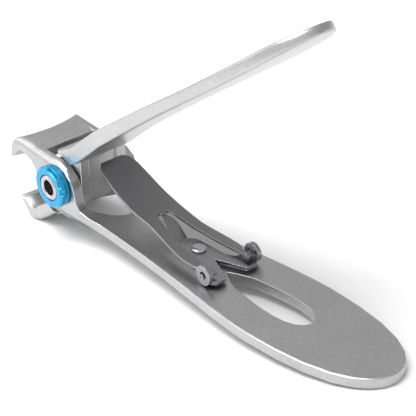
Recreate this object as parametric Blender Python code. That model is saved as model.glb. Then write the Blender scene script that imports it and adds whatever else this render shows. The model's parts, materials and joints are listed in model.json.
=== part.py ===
"""Wide-opening nail clipper: two stamped levers on a hollow pivot, opened by a flat spring.

Dimensions are millimetres in the outer lever's own frame: the origin is the pivot axis, +X runs towards
the handle tips, +Y is the far side and +Z is up. The whole clipper is then stood on its lower jaw and the
tip of the outer lever, with +Z up and the floor at zero.
"""

import math

import bmesh
import bpy
import numpy as np

MM = 0.001

# Stance: where the two floor contacts sit in the outer lever's frame.
TIP_CONTACT = (97.0, -7.4)
JAW_CONTACT = (-8.7, -13.5)
OPEN_ANGLE = math.radians(31.0)

# Sheet and gaps.
OUTER_SHEET = 2.4
INNER_SHEET = 2.6
ROOT_SHEET = 3.9
SPRING_SHEET = 0.6
BRACKET_SHEET = 0.8
REST_GAP = 0.1
EDGE_RADIUS = 0.5

# Outline shared by both handles: distance back from the tip, half-width there.
HANDLE_OUTLINE = (
    (0.0, 0.5), (0.2, 1.6), (0.8, 3.2), (2.2, 5.1), (4.6, 7.1), (8.6, 9.1), (15.0, 10.8), (22.0, 11.7),
    (30.6, 12.1), (36.0, 11.9), (43.0, 11.3), (51.0, 10.4), (60.0, 9.4), (68.0, 8.7), (76.0, 8.2), (88.0, 7.6),
)

# Outer lever: base handle, cheeks and upper jaw.
BASE_TOP = -5.0
BASE_LENGTH = 97.6
BASE_START = 2.0
CHEEK_INNER_Y = 6.65
CHEEK_OUTER_Y = 8.95
SHOULDER_RADIUS = 1.9
JAW_BOW = 1.6
CHEEK_TUCK = (5.2, 13.5, 0.86)
LOWER_JAW_DEPTH = 1.15
OUTER_CHEEK = (
    (-12.2, 3.0), (-9.5, 2.4), (-8.2, 1.0), (-7.3, -1.6), (-6.0, -4.0), (-3.6, -5.9), (-0.5, -6.8), (3.0, -7.1),
    (8.0, -7.3), (14.0, -7.35), (14.0, -5.05), (10.2, -4.9), (7.6, -4.0), (6.5, -2.3), (6.2, 0.4), (5.3, 2.9),
    (3.0, 4.6), (-0.3, 5.4), (-2.6, 5.6), (-9.0, 5.6), (-12.2, 6.0),
)
UPPER_JAW = (
    (-17.5, 0.0), (-17.1, 2.6), (-16.6, 4.4), (-15.8, 5.6), (-14.3, 6.2), (-10.5, 5.8), (-6.7, 5.4),
    (-6.7, 3.0), (-11.8, 3.1), (-13.8, 3.4), (-14.9, 3.0), (-15.7, 2.0), (-16.5, 0.8),
)
JAW_SHOULDER = ((-14.3, 6.2), (-2.6, 5.5))
BASE_WINDOW = (
    (-12.0, 6.5), (6.0, 6.5), (7.4, 5.5), (9.4, 4.6), (11.8, 3.5), (13.4, 2.2), (14.3, 1.0),
    (14.5, 0.0),
)
TEARDROP = (
    (47.5, 0.0), (49.6, 1.2), (53.0, 2.6), (58.5, 3.4), (63.0, 3.8), (66.5, 3.8), (69.5, 3.5), (71.8, 2.7),
    (73.3, 1.4), (73.8, 0.0),
)

# Inner lever in its open position.
INNER_CHEEK_Y = (3.9, 6.2)
NECK_RADIUS = 7.0
TIP_SHEET = 2.0
INNER_HANDLE_PATH = (
    (0.8, 4.4), (6.3, 7.2), (12.5, 12.6), (19.1, 17.7), (25.9, 22.6), (32.8, 27.6), (39.7, 32.5), (46.7, 37.4),
    (53.6, 42.2), (60.5, 47.1), (67.3, 52.1), (74.0, 57.3), (77.0, 59.8),
)
INNER_CHEEK = (
    (-8.9, -8.8), (-6.9, -7.0), (-6.6, -5.3), (-6.4, -1.6), (-5.5, 2.2), (-3.4, 4.2), (-1.4, 5.4),
    (1.4, 7.4), (5.0, 10.4), (7.4, 9.6), (5.8, 6.8), (5.7, 0.0), (5.4, -3.4), (3.8, -6.1), (-1.8, -9.1),
    (-5.0, -11.0),
)
INNER_WEB = (
    (5.9, 7.6), (5.3, 5.6), (5.1, 0.0), (4.8, -3.2), (3.3, -5.6), (-1.8, -8.5), (-5.0, -10.6), (-6.4, -9.0),
    (-1.2, -6.3), (1.9, -4.4), (3.1, -2.6), (3.3, 0.0), (3.4, 6.6),
)
JAW_CLEAR_RADIUS = 8.2

# Pivot hardware, outwards from the middle. A ring is its radius, inner face and outer face.
PIVOT_BORE = 2.55
RIVET_TUBE = 2.3
RIVET_HOLE = 1.8
RIVET_INNER_LIP = 2.9
RIVET_OUTER_LIP = 2.9
RIVET_LIP = 0.45
NEAR_RING = (4.95, 9.1, 11.3)
FAR_RING = (3.8, 9.1, 10.0)
RING_COUNTERBORE = 3.15
RING_STEP_DEPTH = 0.75
RING_NOTCH_ANGLES = ((-4.0, 14.0), (20.0, 38.0))
RING_STEP_ANGLES = (46.0, 92.0)
WASHER_RADIUS = 4.6
WASHER_Y = (6.3, 6.5)
ROUND_SIDES = 40

# Spring, its bracket and the rivet that clamps both.
EAR_X = 48.4
EAR_Z = -2.4
EAR_RADIUS = 2.2
EAR_HOLE = 0.95
EAR_Y = (6.2, 7.2)
SPRING_PATH = (
    (9.0, 6.7), (11.0, 6.3), (16.0, 3.8), (22.4, 1.3), (28.0, 0.2), (33.0, -1.1), (38.0, -1.8), (43.0, -2.1),
    (EAR_X + 1.2, EAR_Z + SPRING_SHEET / 2),
)
SPRING_OUTLINE = (
    (9.0, 2.9), (9.5, 3.6), (10.6, 4.2), (12.8, 4.7), (16.0, 5.0), (23.0, 5.2), (28.0, 5.0), (33.0, 5.4),
    (37.5, 6.1), (41.0, 6.5), (45.2, 6.5), (45.4, 5.6), (EAR_X + 1.2, 5.6),
)
SLOT_OUTLINE = (
    (27.0, 0.0), (27.0, 0.6), (26.4, 0.7), (26.5, 1.4), (27.6, 1.8), (30.0, 2.3), (33.0, 2.8), (36.0, 3.3),
    (39.5, 3.7), (43.0, 4.0), (46.5, 4.3), (52.0, 4.3),
)
TAB_RADIUS = 0.5
TAB_END_Y = 7.5
TONGUE_OUTLINE = ((27.1, 0.5), (27.6, 1.0), (29.5, 1.6), (33.0, 2.1), (37.0, 2.6), (60.0, 2.6))
TONGUE_PATH = ((27.1, 0.2), (28.6, -0.4), (30.2, -1.6), (31.4, -3.1), (32.5, -4.3), (33.6, -4.45), (42.0, -4.45))
TONGUE_SHEET = 0.4
BRACKET_TOP = -3.5
BRACKET_OUTLINE = (
    (32.9, 0.0), (33.1, 1.1), (33.8, 2.0), (34.9, 2.6), (36.2, 2.8), (43.4, 2.9), (45.6, 4.0), (46.4, 6.4),
    (50.0, 6.4), (51.0, 5.4), (50.9, 2.9), (50.3, 2.5), (43.6, 0.0),
)
CLAMP_X = 38.5
CLAMP_SHANK = 1.0
CLAMP_HOLE = 1.15
CLAMP_HEAD = 1.65
CLAMP_DOME = 0.75

STEEL = (0.62, 0.62, 0.63)
SPRING_STEEL = (0.36, 0.36, 0.37)
BLUE = (0.05, 0.42, 0.72)
POLISHED = (0.75, 0.75, 0.76)
NYLON = (0.80, 0.80, 0.78)


def clear_scene():
    for obj in list(bpy.data.objects):
        bpy.data.objects.remove(obj)


def material(name, colour, metallic, roughness):
    made = bpy.data.materials.new(name)
    made.use_nodes = True
    shader = made.node_tree.nodes["Principled BSDF"]
    shader.inputs["Base Color"].default_value = (*colour, 1.0)
    shader.inputs["Metallic"].default_value = metallic
    shader.inputs["Roughness"].default_value = roughness
    return made


def solid(name, vertices, faces):
    """A mesh object from millimetre vertices, with its faces turned outwards."""
    mesh = bpy.data.meshes.new(name)
    mesh.from_pydata([(x * MM, y * MM, z * MM) for x, y, z in vertices], [], faces)
    shape = bmesh.new()
    shape.from_mesh(mesh)
    bmesh.ops.recalc_face_normals(shape, faces=shape.faces)
    shape.to_mesh(mesh)
    shape.free()
    made = bpy.data.objects.new(name, mesh)
    bpy.context.scene.collection.objects.link(made)
    return made


def loft(name, rings):
    """A closed skin over equal-length rings, capped at both ends."""
    count = len(rings[0])
    vertices = [point for ring in rings for point in ring]
    faces = [list(range(count)), list(range(len(vertices) - count, len(vertices)))]
    for ring in range(len(rings) - 1):
        for side in range(count):
            after = (side + 1) % count
            low = ring * count
            high = low + count
            faces.append([low + side, low + after, high + after, high + side])
    return solid(name, vertices, faces)


def prism_y(name, outline, y_low, y_high):
    return loft(name, [[(x, y, z) for x, z in outline] for y in (y_low, y_high)])


def prism_z(name, half_outline, z_low, z_high):
    """A vertical prism whose plan is the outline and its mirror image in the XZ plane."""
    mirrored = [(x, -y) for x, y in reversed(half_outline) if y > 0.0]
    plan = list(half_outline) + mirrored
    return loft(name, [[(x, y, z) for x, y in plan] for z in (z_low, z_high)])


def cylinder_y(name, x, z, radius, y_low, y_high, sides=ROUND_SIDES):
    turns = [2.0 * math.pi * step / sides for step in range(sides)]
    outline = [(x + radius * math.cos(turn), z + radius * math.sin(turn)) for turn in turns]
    return prism_y(name, outline, y_low, y_high)


def lathe_y(name, profile, sides=ROUND_SIDES):
    """A ring about the pivot axis from a closed profile of (radius, y)."""
    count = len(profile)
    vertices = []
    faces = []
    for step in range(sides):
        turn = 2.0 * math.pi * step / sides
        vertices += [(radius * math.cos(turn), y, radius * math.sin(turn)) for radius, y in profile]
        low = step * count
        high = (step + 1) % sides * count
        for point in range(count):
            after = (point + 1) % count
            faces.append([low + point, low + after, high + after, high + point])
    return solid(name, vertices, faces)


def lathe_z(name, x, profile, sides=ROUND_SIDES):
    """A turned solid about a vertical axis; the profile's ends lie on the axis."""
    inner = profile[1:-1]
    vertices = [(x, 0.0, profile[0][1]), (x, 0.0, profile[-1][1])]
    faces = []
    for step in range(sides):
        turn = 2.0 * math.pi * step / sides
        low = 2 + step * len(inner)
        high = 2 + (step + 1) % sides * len(inner)
        vertices += [(x + r * math.cos(turn), r * math.sin(turn), z) for r, z in inner]
        faces.append([0, low, high])
        faces.append([1, high + len(inner) - 1, low + len(inner) - 1])
        for point in range(len(inner) - 1):
            faces.append([low + point, low + point + 1, high + point + 1, high + point])
    return solid(name, vertices, faces)


def clamp_hole():
    """The cutter for the hole that the clamping rivet passes through."""
    return lathe_z("clamp_hole", CLAMP_X, ((0.0, -9.0), (CLAMP_HOLE, -9.0), (CLAMP_HOLE, 0.0), (0.0, 0.0)))


def combine(body, others, operation, solver="EXACT"):
    """Applies one Boolean per other object to the body, then removes the others."""
    for other in others:
        modifier = body.modifiers.new(other.name, "BOOLEAN")
        modifier.operation = operation
        modifier.object = other
        modifier.solver = solver
        bpy.context.view_layer.update()
        evaluated = body.evaluated_get(bpy.context.evaluated_depsgraph_get())
        mesh = bpy.data.meshes.new_from_object(evaluated)
        body.modifiers.clear()
        body.data = mesh
        bpy.data.objects.remove(other)
    return body


def curve_through(points, steps=3):
    """Catmull-Rom points through the given ones."""
    ends = [points[0], *points, points[-1]]
    smooth = []
    for before, start, end, after in zip(ends, ends[1:], ends[2:], ends[3:]):
        before, start, end, after = (np.array(point, float) for point in (before, start, end, after))
        for step in range(steps):
            t = step / steps
            smooth.append(
                0.5 * (2.0 * start + (end - before) * t + (2.0 * before - 5.0 * start + 4.0 * end - after) * t**2
                       + (3.0 * start - before - 3.0 * end + after) * t**3)
            )
    smooth.append(np.array(points[-1], float))
    return np.array(smooth)


def distance_along(path):
    return np.concatenate([[0.0], np.cumsum(np.linalg.norm(np.diff(path, axis=0), axis=1))])


def at_distance(path, along, wanted):
    return np.array([np.interp(wanted, along, path[:, axis]) for axis in (0, 1)])


def strap_ring(point, normal, half_width, thickness, radius):
    """A rounded rectangle across the strap: its face at the point, its body on the normal's side."""
    radius = min(radius, 0.45 * thickness, 0.9 * half_width)
    ring = []
    corners = ((1, 0, 0.0), (1, 1, 90.0), (-1, 1, 180.0), (-1, 0, 270.0))
    for side, top, start in corners:
        for turn in (-90.0, -45.0, 0.0):
            angle = math.radians(start + turn)
            y = side * (half_width - radius) + radius * math.cos(angle)
            depth = (thickness - radius if top else radius) + radius * math.sin(angle)
            ring.append((point[0] + normal[0] * depth, y, point[1] + normal[1] * depth))
    return ring


def strap(name, path, stations, half_width_at, thickness_at, radius, up=1.0):
    """A flat strap along a side-view path, with rounded long edges."""
    along = distance_along(path)
    rings = []
    for station in stations:
        point = at_distance(path, along, station)
        ahead = at_distance(path, along, min(station + 0.6, along[-1]))
        behind = at_distance(path, along, max(station - 0.6, 0.0))
        run = (ahead - behind) / np.linalg.norm(ahead - behind)
        normal = (-run[1] * up, run[0] * up)
        rings.append(
            strap_ring(point, normal, half_width_at(station), thickness_at(station), radius)
        )
    return loft(name, rings)


def handle(name, path, thickness_at, up):
    """A handle strap whose half-width follows the shared outline back from its tip."""
    smooth = curve_through(path)
    length = distance_along(smooth)[-1]
    outline = np.array(HANDLE_OUTLINE)
    from_tip = [back for back, _ in HANDLE_OUTLINE if back < length]
    extra = np.arange(12.0, length, 8.0)
    stations = sorted({round(length - back, 3) for back in [*from_tip, *extra, length]})
    return strap(
        name, smooth, stations,
        lambda station: float(np.interp(length - station, outline[:, 0], outline[:, 1])),
        thickness_at, EDGE_RADIUS, up,
    )


def shoulder_drop(y):
    """How far the rounded bend at each side lies below the flat of the jaw."""
    over = abs(y) - (CHEEK_OUTER_Y - SHOULDER_RADIUS)
    if over <= 0.0:
        return 0.0
    return SHOULDER_RADIUS - math.sqrt(max(SHOULDER_RADIUS**2 - over**2, 0.0))


def side_slices(name, outline, ys, bow=0.0):
    """Slices of one side-view outline, with the rounded shoulder, the bowed front and the tuck into the base."""
    (front_x, front_z), (rear_x, rear_z) = JAW_SHOULDER
    rings = []
    for y in ys:
        ring = []
        for x, z in outline:
            slope = np.interp(x, (front_x, rear_x), (front_z, rear_z))
            lead = bow * (1.0 - (y / CHEEK_OUTER_Y) ** 2) * max(0.0, min(1.0, (-x - 8.0) / 6.0))
            tuck = np.interp(x, CHEEK_TUCK[:2], (1.0, CHEEK_TUCK[2]))
            ring.append((x + lead, y * float(tuck), min(z, float(slope) - shoulder_drop(y))))
        rings.append(ring)
    return loft(name, rings)


def shoulder_ys(inner):
    """Slice positions from the inner y out to the cheek's face, closer together round the bend."""
    bend = CHEEK_OUTER_Y - SHOULDER_RADIUS
    turns = (0.0, 22.5, 45.0, 67.5, 90.0)
    return [inner] + [
        bend + SHOULDER_RADIUS * math.sin(math.radians(turn)) for turn in turns if bend > inner or turn > 0.0
    ]


def jaw(name):
    outward = shoulder_ys(4.0)
    ys = [-y for y in reversed(outward)] + [0.0] + outward
    return side_slices(name, UPPER_JAW, ys, JAW_BOW)


def both_sides(build):
    return [build(side) for side in (-1.0, 1.0)]


def outer_lever():
    base = handle(
        "outer_lever", ((BASE_START, BASE_TOP), (50.0, BASE_TOP), (BASE_LENGTH, BASE_TOP)),
        lambda station: OUTER_SHEET, -1.0,
    )
    cheeks = both_sides(
        lambda side: side_slices("outer_cheek", OUTER_CHEEK, [side * y for y in shoulder_ys(CHEEK_INNER_Y)])
    )
    bores = cylinder_y("pivot_bore", 0.0, 0.0, PIVOT_BORE, -12.0, 12.0)
    window = prism_z("base_window", BASE_WINDOW, BASE_TOP - 4.0, BASE_TOP + 2.0)
    teardrop = prism_z("teardrop", TEARDROP, BASE_TOP - 4.0, BASE_TOP + 2.0)
    combine(base, [window, teardrop, clamp_hole()], "DIFFERENCE")
    # The jaw and the cheeks share their outer faces, and the EXACT solver leaves gaps there.
    combine(base, [*cheeks, jaw("upper_jaw")], "UNION", "MANIFOLD")
    return combine(base, [bores], "DIFFERENCE", "MANIFOLD")


def opened(points):
    """Side-view points turned about the pivot from the closed to the open position."""
    cosine = math.cos(OPEN_ANGLE)
    sine = math.sin(OPEN_ANGLE)
    return [(x * cosine - z * sine, x * sine + z * cosine) for x, z in points]


def lower_jaw():
    """The upper jaw mirrored below the cutting line, slightly deeper, then turned down to the open position."""
    made = jaw("lower_jaw")
    for vertex in made.data.vertices:
        turned = opened([(vertex.co.x, -vertex.co.z * LOWER_JAW_DEPTH)])
        vertex.co.x, vertex.co.z = turned[0]
    made.data.flip_normals()
    return made


def inner_lever():
    length = distance_along(curve_through(INNER_HANDLE_PATH))[-1]
    thickness = ((0.0, 26.0, 60.0, length - 6.0, length), (ROOT_SHEET, 3.4, INNER_SHEET, INNER_SHEET, TIP_SHEET))
    body = handle(
        "inner_lever", INNER_HANDLE_PATH,
        lambda station: float(np.interp(station, *thickness)), 1.0,
    )
    neck = both_sides(
        lambda side: cylinder_y("neck_trim", 0.0, 0.0, NECK_RADIUS, side * INNER_CHEEK_Y[1], side * 12.0)
    )
    combine(body, neck, "DIFFERENCE")
    cheeks = both_sides(
        lambda side: prism_y("inner_cheek", INNER_CHEEK, side * INNER_CHEEK_Y[0], side * INNER_CHEEK_Y[1])
    )
    web = prism_y("inner_web", INNER_WEB, -INNER_CHEEK_Y[1] + 0.5, INNER_CHEEK_Y[1] - 0.5)
    front = lower_jaw()
    clear = both_sides(
        lambda side: cylinder_y("jaw_clear", 0.0, 0.0, JAW_CLEAR_RADIUS, side * (INNER_CHEEK_Y[1] + 0.05), side * 10.0)
    )
    combine(front, clear, "DIFFERENCE")
    combine(body, [*cheeks, web, front], "UNION")
    bores = cylinder_y("pivot_bore", 0.0, 0.0, PIVOT_BORE, -7.0, 7.0)
    return combine(body, [bores], "DIFFERENCE")


def sector(name, angles, radii, y_low, y_high):
    """An annular sector about the pivot axis."""
    turns = np.radians(np.linspace(angles[0], angles[1], 7))
    outline = [(radii[0] * math.cos(turn), radii[0] * math.sin(turn)) for turn in turns]
    outline += [(radii[1] * math.cos(turn), radii[1] * math.sin(turn)) for turn in reversed(turns)]
    return prism_y(name, outline, y_low, y_high)


def ring_size(side):
    """(radius, inner face, outer face) of the ring on this side, with the faces as Y positions."""
    radius, inner, outer = NEAR_RING if side < 0.0 else FAR_RING
    return radius, side * inner, side * outer


def pivot_ring(name, side):
    """The near ring has a stepped, notched rim, and the far one is low and plain."""
    radius, inner, outer = ring_size(side)
    bevel = side * 0.4
    seat = side * (RIVET_LIP + 0.1)
    ring = lathe_y(name, (
        (PIVOT_BORE, inner), (radius, inner), (radius, outer - bevel), (radius - 0.4, outer),
        (RING_COUNTERBORE, outer), (RING_COUNTERBORE, outer - seat), (PIVOT_BORE, outer - seat),
    ))
    if side > 0.0:
        return ring
    step = side * RING_STEP_DEPTH
    cuts = [sector("step", RING_STEP_ANGLES, (4.1, 6.0), outer - step, outer + step)]
    for angles in RING_NOTCH_ANGLES:
        cuts.append(sector("notch", angles, (4.35, 6.0), outer - 1.3 * step, outer + step))
    return combine(ring, cuts, "DIFFERENCE")


def pivot_rivet(name, side):
    inner = side * (INNER_CHEEK_Y[0] - REST_GAP)
    outer = ring_size(side)[2] + side * 0.1
    lip = side * RIVET_LIP
    chamfer = side * 0.2
    return lathe_y(name, (
        (RIVET_HOLE, inner - lip), (RIVET_INNER_LIP, inner - lip), (RIVET_INNER_LIP, inner), (RIVET_TUBE, inner),
        (RIVET_TUBE, outer - lip), (RIVET_OUTER_LIP, outer - lip), (RIVET_OUTER_LIP, outer - chamfer),
        (RIVET_OUTER_LIP - 0.25, outer), (RIVET_HOLE + 0.25, outer), (RIVET_HOLE, outer - chamfer),
    ))


def washer(name, side):
    inner, outer = (side * y for y in WASHER_Y)
    return lathe_y(name, (
        (PIVOT_BORE, inner), (WASHER_RADIUS, inner), (WASHER_RADIUS, outer), (PIVOT_BORE, outer),
    ))


def sheet_along(name, path, half_width_at, thickness):
    """A thin sheet whose upper face follows the path."""
    smooth = curve_through(path)
    along = distance_along(smooth)
    stations = sorted(set(np.round(np.arange(0.0, along[-1], 1.3), 3)) | {round(float(along[-1]), 3)})
    return strap(
        name, smooth, stations,
        lambda station: half_width_at(float(np.interp(station, along, smooth[:, 0]))),
        lambda station: thickness, 0.12, -1.0,
    )


def spring_plate():
    outline = np.array(SPRING_OUTLINE)
    plate = sheet_along(
        "spring_plate", SPRING_PATH, lambda x: float(np.interp(x, outline[:, 0], outline[:, 1])), SPRING_SHEET
    )
    slots = prism_z("slots", SLOT_OUTLINE, -9.0, 9.0)
    combine(plate, [slots], "DIFFERENCE")
    tabs = both_sides(
        lambda side: cylinder_y("tab", EAR_X, EAR_Z, TAB_RADIUS, side * (SLOT_OUTLINE[-1][1] + 0.4), side * TAB_END_Y, 20)
    )
    combine(plate, tabs, "UNION")
    shift_origin(plate, EAR_X, EAR_Z)
    return plate


def shift_origin(made, x, z):
    """Moves the object's origin onto its joint axis, leaving the shape where it is."""
    for vertex in made.data.vertices:
        vertex.co.x -= x * MM
        vertex.co.z -= z * MM
    made.location = (x * MM, 0.0, z * MM)


def spring_tongue():
    outline = np.array(TONGUE_OUTLINE)
    tongue = sheet_along(
        "spring_tongue", TONGUE_PATH, lambda x: float(np.interp(x, outline[:, 0], outline[:, 1])), TONGUE_SHEET
    )
    hole = clamp_hole()
    return combine(tongue, [hole], "DIFFERENCE")


def hinge_bracket():
    plate = prism_z("hinge_bracket", BRACKET_OUTLINE, BRACKET_TOP - BRACKET_SHEET, BRACKET_TOP)
    ears = both_sides(
        lambda side: cylinder_y("ear", EAR_X, EAR_Z, EAR_RADIUS, side * EAR_Y[0], side * EAR_Y[1])
    )
    combine(plate, ears, "UNION")
    holes = cylinder_y("ear_hole", EAR_X, EAR_Z, EAR_HOLE, -9.0, 9.0, 24)
    hole = clamp_hole()
    return combine(plate, [holes, hole], "DIFFERENCE")


def bracket_rivet():
    seat = BRACKET_TOP + REST_GAP
    dome = [
        (CLAMP_HEAD * math.cos(turn), seat + 0.25 + (CLAMP_DOME - 0.25) * math.sin(turn))
        for turn in np.radians((0.0, 20.0, 40.0, 60.0, 80.0))
    ]
    profile = [
        (0.0, BASE_TOP - OUTER_SHEET), (CLAMP_SHANK, BASE_TOP - OUTER_SHEET), (CLAMP_SHANK, seat),
        (CLAMP_HEAD, seat), *dome, (0.0, seat + CLAMP_DOME),
    ]
    return lathe_z("bracket_rivet", CLAMP_X, profile)


def finish(made, look):
    made.data.materials.clear()
    made.data.materials.append(look)
    made.data.shade_smooth()
    made.data.set_sharp_from_angle(angle=math.radians(30.0))


def stand_on_floor(nodes):
    """Hangs every node from an empty on the pivot, tilted so that both contacts touch the floor."""
    tilt = math.atan2(TIP_CONTACT[1] - JAW_CONTACT[1], TIP_CONTACT[0] - JAW_CONTACT[0])
    pivot = bpy.data.objects.new("pivot", None)
    bpy.context.scene.collection.objects.link(pivot)
    pivot.rotation_euler = (0.0, tilt, 0.0)
    for node in nodes:
        node.parent = pivot
    bpy.context.view_layer.update()
    corners = np.array([
        node.matrix_world @ vertex.co for node in nodes for vertex in node.data.vertices
    ])
    low = corners.min(axis=0)
    high = corners.max(axis=0)
    pivot.location = (-(low[0] + high[0]) / 2.0, -(low[1] + high[1]) / 2.0, -low[2])


def main():
    clear_scene()
    nodes = []
    for build, look in (
        (outer_lever, material("outer_steel", STEEL, 1.0, 0.35)),
        (inner_lever, material("inner_steel", STEEL, 1.0, 0.35)),
        (spring_plate, material("spring_steel", SPRING_STEEL, 1.0, 0.4)),
        (spring_tongue, material("tongue_steel", SPRING_STEEL, 1.0, 0.4)),
        (hinge_bracket, material("bracket_steel", SPRING_STEEL, 1.0, 0.38)),
        (bracket_rivet, material("clamp_steel", POLISHED, 1.0, 0.3)),
    ):
        made = build()
        finish(made, look)
        nodes.append(made)
    for label, side in (("near", -1.0), ("far", 1.0)):
        for build, kind, colour, metallic in (
            (pivot_ring, "pivot_ring", BLUE, 0.6),
            (pivot_rivet, "pivot_rivet", POLISHED, 1.0),
            (washer, "washer", NYLON, 0.0),
        ):
            made = build(f"{label}_{kind}", side)
            finish(made, material(f"{label}_{kind}", colour, metallic, 0.3))
            nodes.append(made)
    stand_on_floor(nodes)


main()
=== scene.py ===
"""Looks for the wide-opening nail clipper: satin and polished steel, a blue anodised pivot, a studio floor.

Every piece here is a smooth-shaded stand-in for one CAD node, in the same place and on the same body.
"""

import json
import math

import bmesh
import bpy
from mathutils import Matrix, Vector

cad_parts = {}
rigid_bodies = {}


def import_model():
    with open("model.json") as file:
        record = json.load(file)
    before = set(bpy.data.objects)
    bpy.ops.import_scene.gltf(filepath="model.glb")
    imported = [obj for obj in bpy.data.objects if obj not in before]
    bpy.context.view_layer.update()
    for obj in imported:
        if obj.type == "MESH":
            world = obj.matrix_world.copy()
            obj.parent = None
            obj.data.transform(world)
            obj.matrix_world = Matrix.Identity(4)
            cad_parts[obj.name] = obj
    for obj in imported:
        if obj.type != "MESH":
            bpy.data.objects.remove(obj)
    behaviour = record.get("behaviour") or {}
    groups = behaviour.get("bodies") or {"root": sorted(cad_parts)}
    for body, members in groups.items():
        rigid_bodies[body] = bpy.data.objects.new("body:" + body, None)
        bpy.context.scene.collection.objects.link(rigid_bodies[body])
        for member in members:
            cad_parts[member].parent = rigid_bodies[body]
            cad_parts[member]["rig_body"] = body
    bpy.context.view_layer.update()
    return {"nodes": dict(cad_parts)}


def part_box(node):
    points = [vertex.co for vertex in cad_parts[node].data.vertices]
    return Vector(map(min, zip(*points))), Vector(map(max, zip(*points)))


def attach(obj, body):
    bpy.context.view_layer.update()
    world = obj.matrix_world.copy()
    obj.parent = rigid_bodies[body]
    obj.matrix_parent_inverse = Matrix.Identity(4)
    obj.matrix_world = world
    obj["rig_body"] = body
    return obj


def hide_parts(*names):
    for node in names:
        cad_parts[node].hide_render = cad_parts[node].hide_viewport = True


# Camera, in the pivot's own tilted frame: where it stands, which way it looks and its lens in millimetres.
PIVOT_TILT = 0.05764656
CAMERA_PLACE = (0.307504, -0.215153, 0.207142)
CAMERA_AZIMUTH = math.radians(-39.03)
CAMERA_ELEVATION = math.radians(30.2)
CAMERA_ROLL = math.radians(-2.046)
CAMERA_LENS = 164.42
CAMERA_SENSOR = 36.0
CAMERA_NEAR = 0.001

# Smooth shading: corners closer than the first are one, faces flatter than the second are one, and
# edges sharper than the last stay crisp.
MERGE_DISTANCE = 0.000002
FLAT_ANGLE = math.radians(0.4)
SHARP_ANGLE = math.radians(28.0)

# Linear colours of each metal: its faces, then its polished edges, whose lighter colour is a painted
# highlight.
LEVER_COLOURS = ((0.50, 0.50, 0.505), (0.80, 0.80, 0.81))
SPRING_COLOURS = ((0.27, 0.27, 0.275), (0.78, 0.78, 0.79))
BRACKET_COLOURS = ((0.33, 0.33, 0.34), (0.86, 0.86, 0.87))
RIVET_COLOURS = ((0.52, 0.52, 0.53), (0.90, 0.90, 0.90))
RING_COLOURS = ((0.010, 0.33, 0.62), (0.12, 0.66, 0.92))
NYLON_COLOUR = (0.72, 0.72, 0.69)
PAPER_COLOUR = (0.92, 0.92, 0.92)

# Painted shade on the spring strip's raised end, on its faces and on its edges, which fades out over this
# share of its length.
PAINTED_SHADE_FACE = (0.21, 0.208, 0.215, 1.0)
PAINTED_SHADE_EDGE = (0.6, 0.6, 0.61, 1.0)
PAINTED_SHADE_SHARE = 0.7

# Grain that is drawn out along X has a stretch under 1 there.
EVEN_GRAIN = (1.0, 1.0, 1.0)
LEVER_GRAIN = (0.35, 1.0, 1.0)
SPRING_GRAIN = (0.25, 1.0, 1.0)

# How the metal is worn: share of fine grain against clouds, and what grain and edges do to the gloss.
CLOUD_SCALE = 90.0
GRAIN_SHARE = 0.65
COLOUR_SPREAD = 0.13
ROUGHNESS_SPREAD = 0.07
EDGE_POLISH = 0.10
EDGE_TURN = (0.02, 0.30)
BEVEL_SAMPLES = 8

# The upper handle's edges round over, up to this radius, between these shares of its height.
TIP_RADIUS = 0.0012
TIP_SHARES = (0.55, 0.85)

# The lathe marks on a ring are a sine wave of the distance from its axis.
LATHE_RADIANS_PER_METRE = 45000.0

FLOOR_SIZE = 8.0
FLOOR_GAP = 0.00005

# Each light: name, place, target, size and power.
LIGHTS = (
    ("key", (-0.10, -0.15, 0.60), (0.0, 0.0, 0.0), 0.45, 3.2),
    ("left_fill", (-0.45, -0.30, 0.25), (0.0, 0.0, 0.02), 0.35, 0.4),
)

# The room is brightest towards -Y and darkest towards +Y, which the flat top faces mirror.
ROOM_SPAN = (-0.5, 0.7)
ROOM_STRENGTH = (0.95, 0.52)


def link_or_set(tree, socket, value):
    """Links the socket to a value that is a socket too, and sets it to any other value."""
    if isinstance(value, bpy.types.NodeSocket):
        tree.links.new(value, socket)
    else:
        socket.default_value = value


def add_node(tree, kind, **inputs):
    made = tree.nodes.new(kind)
    for name, value in inputs.items():
        link_or_set(tree, made.inputs[name.replace("_", " ")], value)
    return made


def maths(tree, operation, *values):
    made = tree.nodes.new("ShaderNodeMath")
    made.operation = operation
    for socket, value in zip(made.inputs, values):
        link_or_set(tree, socket, value)
    return made.outputs[0]


def dot_product(tree, first, second):
    made = tree.nodes.new("ShaderNodeVectorMath")
    made.operation = "DOT_PRODUCT"
    tree.links.new(first, made.inputs[0])
    tree.links.new(second, made.inputs[1])
    return made.outputs["Value"]


def mix_colour(tree, factor, first, second):
    made = tree.nodes.new("ShaderNodeMix")
    made.data_type = "RGBA"
    by_name = {socket.identifier: socket for socket in made.inputs}
    for name, value in (("Factor_Float", factor), ("A_Color", first), ("B_Color", second)):
        link_or_set(tree, by_name[name], value)
    return next(socket for socket in made.outputs if socket.identifier == "Result_Color")


def ranged(tree, value, low, high, start=0.0, end=1.0):
    """low where the value is at start or under, high where it is at end or over, and in between a ramp."""
    made = tree.nodes.new("ShaderNodeMapRange")
    numbers = {"Value": value, "From Min": start, "From Max": end, "To Min": low, "To Max": high}
    for name, number in numbers.items():
        link_or_set(tree, made.inputs[name], number)
    return made.outputs["Result"]


def object_place(tree):
    return tree.nodes.new("ShaderNodeTexCoord").outputs["Object"]


def axes_of(tree, vector):
    """The X, Y and Z sockets of a vector socket."""
    parts = tree.nodes.new("ShaderNodeSeparateXYZ")
    tree.links.new(vector, parts.inputs[0])
    return parts.outputs


def stretched_noise(tree, scale, stretch=EVEN_GRAIN, detail=3.0):
    """Noise in the piece's own coordinates, in cycles per metre."""
    mapping = add_node(tree, "ShaderNodeMapping", Vector=object_place(tree), Scale=stretch)
    noise = add_node(tree, "ShaderNodeTexNoise", Vector=mapping.outputs[0], Scale=scale, Detail=detail)
    return noise.outputs["Fac"]


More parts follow.
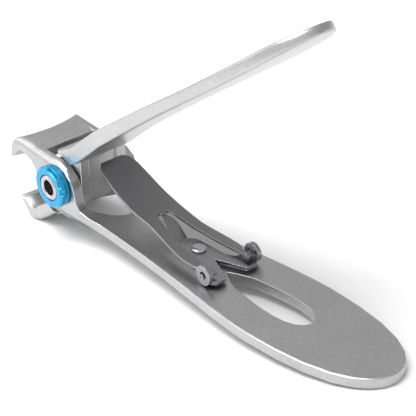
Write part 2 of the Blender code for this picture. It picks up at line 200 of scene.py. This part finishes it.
def radius_from(tree, centre):
    """Distance from an axis that runs along Y through the centre."""
    place = axes_of(tree, object_place(tree))
    across = maths(tree, "SUBTRACT", place["X"], centre.x)
    up = maths(tree, "SUBTRACT", place["Z"], centre.z)
    square = maths(tree, "ADD", maths(tree, "MULTIPLY", across, across), maths(tree, "MULTIPLY", up, up))
    return maths(tree, "SQRT", square)


def edge_amount(tree, rounded):
    """0 on a flat face, rising to 1 where the rounded normal turns over an edge."""
    face_normal = tree.nodes.new("ShaderNodeNewGeometry").outputs["Normal"]
    turn = maths(tree, "SUBTRACT", 1.0, dot_product(tree, rounded, face_normal))
    return ranged(tree, turn, 0.0, 1.0, *EDGE_TURN)


def varied(tree, colour, noise, amount):
    """The colour, darker and lighter by the amount as the noise goes from 0.3 to 0.7."""
    dark = (*(part * (1.0 - amount) for part in colour), 1.0)
    light = (*(part * (1.0 + amount) for part in colour), 1.0)
    return mix_colour(tree, ranged(tree, noise, 0.0, 1.0, 0.3, 0.7), dark, light)


def tip_share(tree):
    """0 along most of the upper handle, rising smoothly to 1 over the last stretch before its tip."""
    low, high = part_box("inner_lever")
    start, end = (low.z + share * (high.z - low.z) for share in TIP_SHARES)
    share = ranged(tree, axes_of(tree, object_place(tree))["Z"], 0.0, 1.0, start, end)
    share.node.interpolation_type = "SMOOTHSTEP"
    return share


def new_material(name):
    """A new material, its node tree and its Principled shader."""
    made = bpy.data.materials.new(name)
    made.use_nodes = True
    return made, made.node_tree, made.node_tree.nodes["Principled BSDF"]


def add_bump(tree, shader, strength, distance, height, normal=None):
    bump = add_node(tree, "ShaderNodeBump", Strength=strength, Distance=distance, Height=height)
    if normal:
        tree.links.new(normal, bump.inputs["Normal"])
    tree.links.new(bump.outputs["Normal"], shader.inputs["Normal"])


def linked_to(socket):
    return socket.links[0].from_socket


def metal(name, colours, roughness, edge_radius, grain, stretch=EVEN_GRAIN, metallic=1.0, tip_radius=None):
    """Worked metal: fine grain, faint clouding, polished edges with a painted highlight in their lighter
    colour, and a small round over each edge.
    """
    made, tree, shader = new_material(name)
    face_colour, painted_highlight_colour = colours
    shader.inputs["Metallic"].default_value = metallic
    bevel = tree.nodes.new("ShaderNodeBevel")
    bevel.samples = BEVEL_SAMPLES
    radius = ranged(tree, tip_share(tree), edge_radius, tip_radius) if tip_radius else edge_radius
    link_or_set(tree, bevel.inputs["Radius"], radius)
    rounded = bevel.outputs["Normal"]
    edge = edge_amount(tree, rounded)
    edge.node.name = "polish_and_highlight_edge"
    fine = stretched_noise(tree, grain, stretch)
    cloud = stretched_noise(tree, CLOUD_SCALE, detail=2.0)
    fine_part = maths(tree, "MULTIPLY", fine, GRAIN_SHARE)
    mottled = maths(tree, "ADD", fine_part, maths(tree, "MULTIPLY", cloud, 1.0 - GRAIN_SHARE))
    face = varied(tree, face_colour, mottled, COLOUR_SPREAD)
    # Painted highlight: the colour turns lighter over each edge, while the edge's lower roughness is real
    # polish.
    tree.links.new(mix_colour(tree, edge, face, (*painted_highlight_colour, 1.0)), shader.inputs["Base Color"])
    gloss = ranged(tree, fine, roughness - ROUGHNESS_SPREAD, roughness + ROUGHNESS_SPREAD)
    polished = maths(tree, "SUBTRACT", gloss, maths(tree, "MULTIPLY", edge, EDGE_POLISH))
    tree.links.new(polished, shader.inputs["Roughness"])
    add_bump(tree, shader, 0.35, 0.00003, fine, rounded)
    return made


def spring_strip_with_painted_shade(name):
    """Spring strip with painted shade at its raised end: darker there, and fading into plain spring steel
    along the strip.
    """
    made = metal(name, SPRING_COLOURS, 0.34, 0.00014, 3200.0, SPRING_GRAIN)
    tree = made.node_tree
    base = tree.nodes["Principled BSDF"].inputs["Base Color"]
    low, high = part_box("spring_plate")
    end = low.x + PAINTED_SHADE_SHARE * (high.x - low.x)
    share = ranged(tree, axes_of(tree, object_place(tree))["X"], 0.0, 1.0, low.x, end)
    edge = tree.nodes["polish_and_highlight_edge"].outputs["Result"]
    # Painted shade over the raised end: darker on the faces, lighter on the edges where the painted
    # highlight lies.
    painted_shade = mix_colour(tree, edge, PAINTED_SHADE_FACE, PAINTED_SHADE_EDGE)
    tree.links.new(mix_colour(tree, share, painted_shade, linked_to(base)), base)
    return made


def anodised(name, centre):
    """Turned aluminium under a coloured anodised film, with fine lathe rings about the pivot."""
    made = metal(name, RING_COLOURS, 0.30, 0.00018, 3000.0, metallic=0.75)
    tree = made.node_tree
    shader = tree.nodes["Principled BSDF"]
    shader.inputs["Coat Weight"].default_value = 0.4
    shader.inputs["Coat Roughness"].default_value = 0.15
    phase = maths(tree, "MULTIPLY", radius_from(tree, centre), LATHE_RADIANS_PER_METRE)
    rings = maths(tree, "SINE", phase)
    add_bump(tree, shader, 0.15, 0.00002, rings, linked_to(shader.inputs["Normal"]))
    return made


def nylon(name):
    made, tree, shader = new_material(name)
    fine = stretched_noise(tree, 1800.0)
    tree.links.new(varied(tree, NYLON_COLOUR, fine, 0.06), shader.inputs["Base Color"])
    tree.links.new(ranged(tree, fine, 0.45, 0.6), shader.inputs["Roughness"])
    shader.inputs["Subsurface Weight"].default_value = 0.1
    add_bump(tree, shader, 0.2, 0.00002, fine)
    return made


def smooth_copy(name, source):
    """A copy of a CAD node with shared corners, so that its curved faces shade as one."""
    shape = bmesh.new()
    shape.from_mesh(source.data)
    bmesh.ops.remove_doubles(shape, verts=shape.verts, dist=MERGE_DISTANCE)
    bmesh.ops.dissolve_limit(shape, angle_limit=FLAT_ANGLE, verts=shape.verts, edges=shape.edges)
    mesh = bpy.data.meshes.new(name)
    shape.to_mesh(mesh)
    shape.free()
    mesh.polygons.foreach_set("use_smooth", [True] * len(mesh.polygons))
    mesh.set_sharp_from_angle(angle=SHARP_ANGLE)
    made = bpy.data.objects.new(name, mesh)
    bpy.context.scene.collection.objects.link(made)
    weighted = made.modifiers.new("weighted", "WEIGHTED_NORMAL")
    weighted.keep_sharp = True
    return made


def finish_piece(name, source, look):
    made = smooth_copy(name + "_finish", source)
    made.data.materials.append(look)
    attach(made, source["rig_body"])
    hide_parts(name)


def pivot_centre():
    low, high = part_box("near_pivot_ring")
    return (low + high) / 2.0


def make_pieces(nodes):
    lever = metal("satin_lever", LEVER_COLOURS, 0.34, 0.0003, 2600.0, LEVER_GRAIN)
    upper = metal("satin_upper", LEVER_COLOURS, 0.34, 0.0003, 2600.0, LEVER_GRAIN, tip_radius=TIP_RADIUS)
    strip = spring_strip_with_painted_shade("spring_strip")
    bracket = metal("polished_bracket", BRACKET_COLOURS, 0.28, 0.00016, 7000.0)
    rivet = metal("bright_rivet", RIVET_COLOURS, 0.24, 0.00015, 3600.0)
    blue = anodised("blue_anodised", pivot_centre())
    looks = (
        ("lever_steel", lever, ("outer_lever",)),
        ("lever_steel", upper, ("inner_lever",)),
        ("spring_steel", strip, ("spring_plate", "spring_tongue")),
        ("bracket_steel", bracket, ("hinge_bracket",)),
        ("rivet_steel", rivet, ("bracket_rivet", "near_pivot_rivet", "far_pivot_rivet")),
        ("blue_anodised", blue, ("near_pivot_ring", "far_pivot_ring")),
        ("washer_nylon", nylon("washer_nylon"), ("near_washer", "far_washer")),
    )
    for slot, look, names in looks:
        for name in names:
            finish_piece(name, nodes[name], look)


def make_floor():
    bpy.ops.mesh.primitive_plane_add(size=FLOOR_SIZE, location=(0.0, 0.0, -FLOOR_GAP))
    floor = bpy.context.object
    floor.name = "studio_floor"
    look, tree, shader = new_material("studio_paper")
    fibres = stretched_noise(tree, 400.0)
    tree.links.new(varied(tree, PAPER_COLOUR, fibres, 0.01), shader.inputs["Base Color"])
    shader.inputs["Roughness"].default_value = 0.9
    shader.inputs["Specular IOR Level"].default_value = 0.1
    floor.data.materials.append(look)


def area_light(name, place, target, size, power):
    data = bpy.data.lights.new(name, "AREA")
    data.shape = "DISK"
    data.size = size
    data.energy = power
    made = bpy.data.objects.new(name, data)
    made.location = place
    made.rotation_euler = (Vector(target) - Vector(place)).to_track_quat("-Z", "Y").to_euler()
    bpy.context.scene.collection.objects.link(made)


def make_world():
    world = bpy.data.worlds.new("studio")
    world.use_nodes = True
    bpy.context.scene.world = world
    tree = world.node_tree
    direction = tree.nodes.new("ShaderNodeTexCoord").outputs["Generated"]
    strength = ranged(tree, axes_of(tree, direction)["Y"], *ROOM_STRENGTH, *ROOM_SPAN)
    background = tree.nodes["Background"]
    background.inputs["Color"].default_value = (1.0, 1.0, 1.0, 1.0)
    tree.links.new(strength, background.inputs["Strength"])


def make_lights():
    for light in LIGHTS:
        area_light(*light)
    make_world()


def make_camera():
    toward = Vector((
        math.cos(CAMERA_ELEVATION) * math.cos(CAMERA_AZIMUTH),
        math.cos(CAMERA_ELEVATION) * math.sin(CAMERA_AZIMUTH),
        math.sin(CAMERA_ELEVATION),
    ))
    level_right = (-toward).cross(Vector((0.0, 0.0, 1.0))).normalized()
    level_up = level_right.cross(-toward)
    right = math.cos(CAMERA_ROLL) * level_right + math.sin(CAMERA_ROLL) * level_up
    up = math.cos(CAMERA_ROLL) * level_up - math.sin(CAMERA_ROLL) * level_right
    turn = Matrix((right, up, toward)).transposed().to_4x4()
    centre = pivot_centre()
    pivot = Matrix.Translation((centre.x, 0.0, centre.z)) @ Matrix.Rotation(PIVOT_TILT, 4, "Y")
    data = bpy.data.cameras.new("camera")
    data.lens = CAMERA_LENS
    data.sensor_width = CAMERA_SENSOR
    data.clip_start = CAMERA_NEAR
    camera = bpy.data.objects.new("camera", data)
    camera.matrix_world = pivot @ Matrix.Translation(CAMERA_PLACE) @ turn
    bpy.context.scene.collection.objects.link(camera)
    bpy.context.scene.camera = camera


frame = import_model()
make_camera()
make_pieces(frame["nodes"])
make_floor()
make_lights()
bpy.context.scene.view_settings.view_transform = "Standard"
